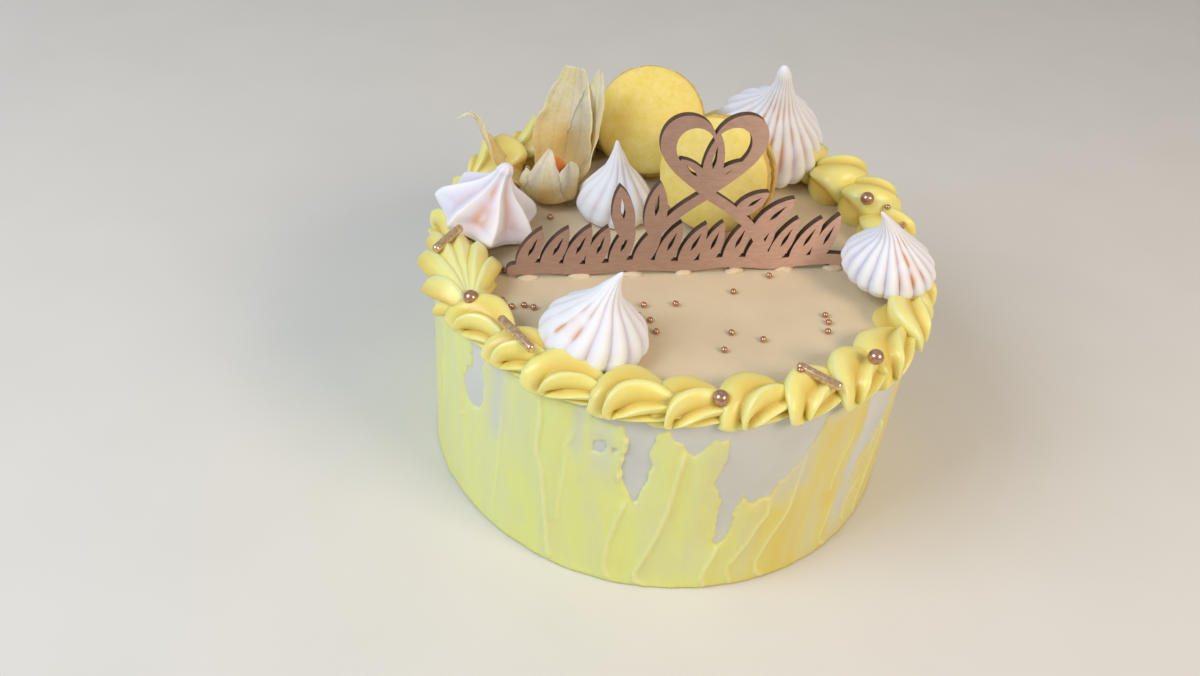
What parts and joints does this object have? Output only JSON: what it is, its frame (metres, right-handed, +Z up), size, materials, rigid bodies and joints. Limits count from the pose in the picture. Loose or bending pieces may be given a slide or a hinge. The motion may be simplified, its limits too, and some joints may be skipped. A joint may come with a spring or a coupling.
{
  "type": "hazelnut torte",
  "caption": "Round torte in cream and pale yellow buttercream with a piped shell border, meringues, macarons, a physalis, copper sugar pearls and an openwork wooden topper.",
  "frame": {"origin": "middle of the flat underside of the cake", "axes": "+Z up; the torte's front, as shown, looks along -Y; +X to the viewer's right"},
  "size_m": [0.2244, 0.2248, 0.1718],
  "materials": {
    "cream_buttercream": "smoothed pale hazelnut buttercream, soft sheen, tiny copper pearls on top",
    "yellow_buttercream": "thin knife-smeared pale yellow buttercream",
    "piped_buttercream": "piped lemon-yellow buttercream, soft gloss, copper pearls and rods",
    "meringue": "dry baked meringue, toasted peach in its grooves",
    "macaron_shell": "baked almond shell, fine pits, yellow",
    "macaron_filling": "nut cream",
    "physalis_berry": "waxy orange berry skin",
    "physalis_husk": "dry papery calyx with fine veins",
    "topper_wood": "laser-cut thin board, pinkish brown face, dark burnt edge"
  },
  "bodies": {
    "root": {"cake_body": "cream_buttercream", "yellow_coat": "yellow_buttercream", "piped_border": "piped_buttercream", "meringue_front_left": "meringue", "meringue_left": "meringue", "meringue_back_left": "meringue", "meringue_right": "meringue", "meringue_back_right": "meringue", "macaron_back_front_shell": "macaron_shell", "macaron_back_filling": "macaron_filling", "macaron_back_back_shell": "macaron_shell", "macaron_front_front_shell": "macaron_shell", "macaron_front_filling": "macaron_filling", "macaron_front_back_shell": "macaron_shell", "physalis_berry": "physalis_berry", "physalis_husk": "physalis_husk", "topper": "topper_wood"}
  },
  "joints": []
}
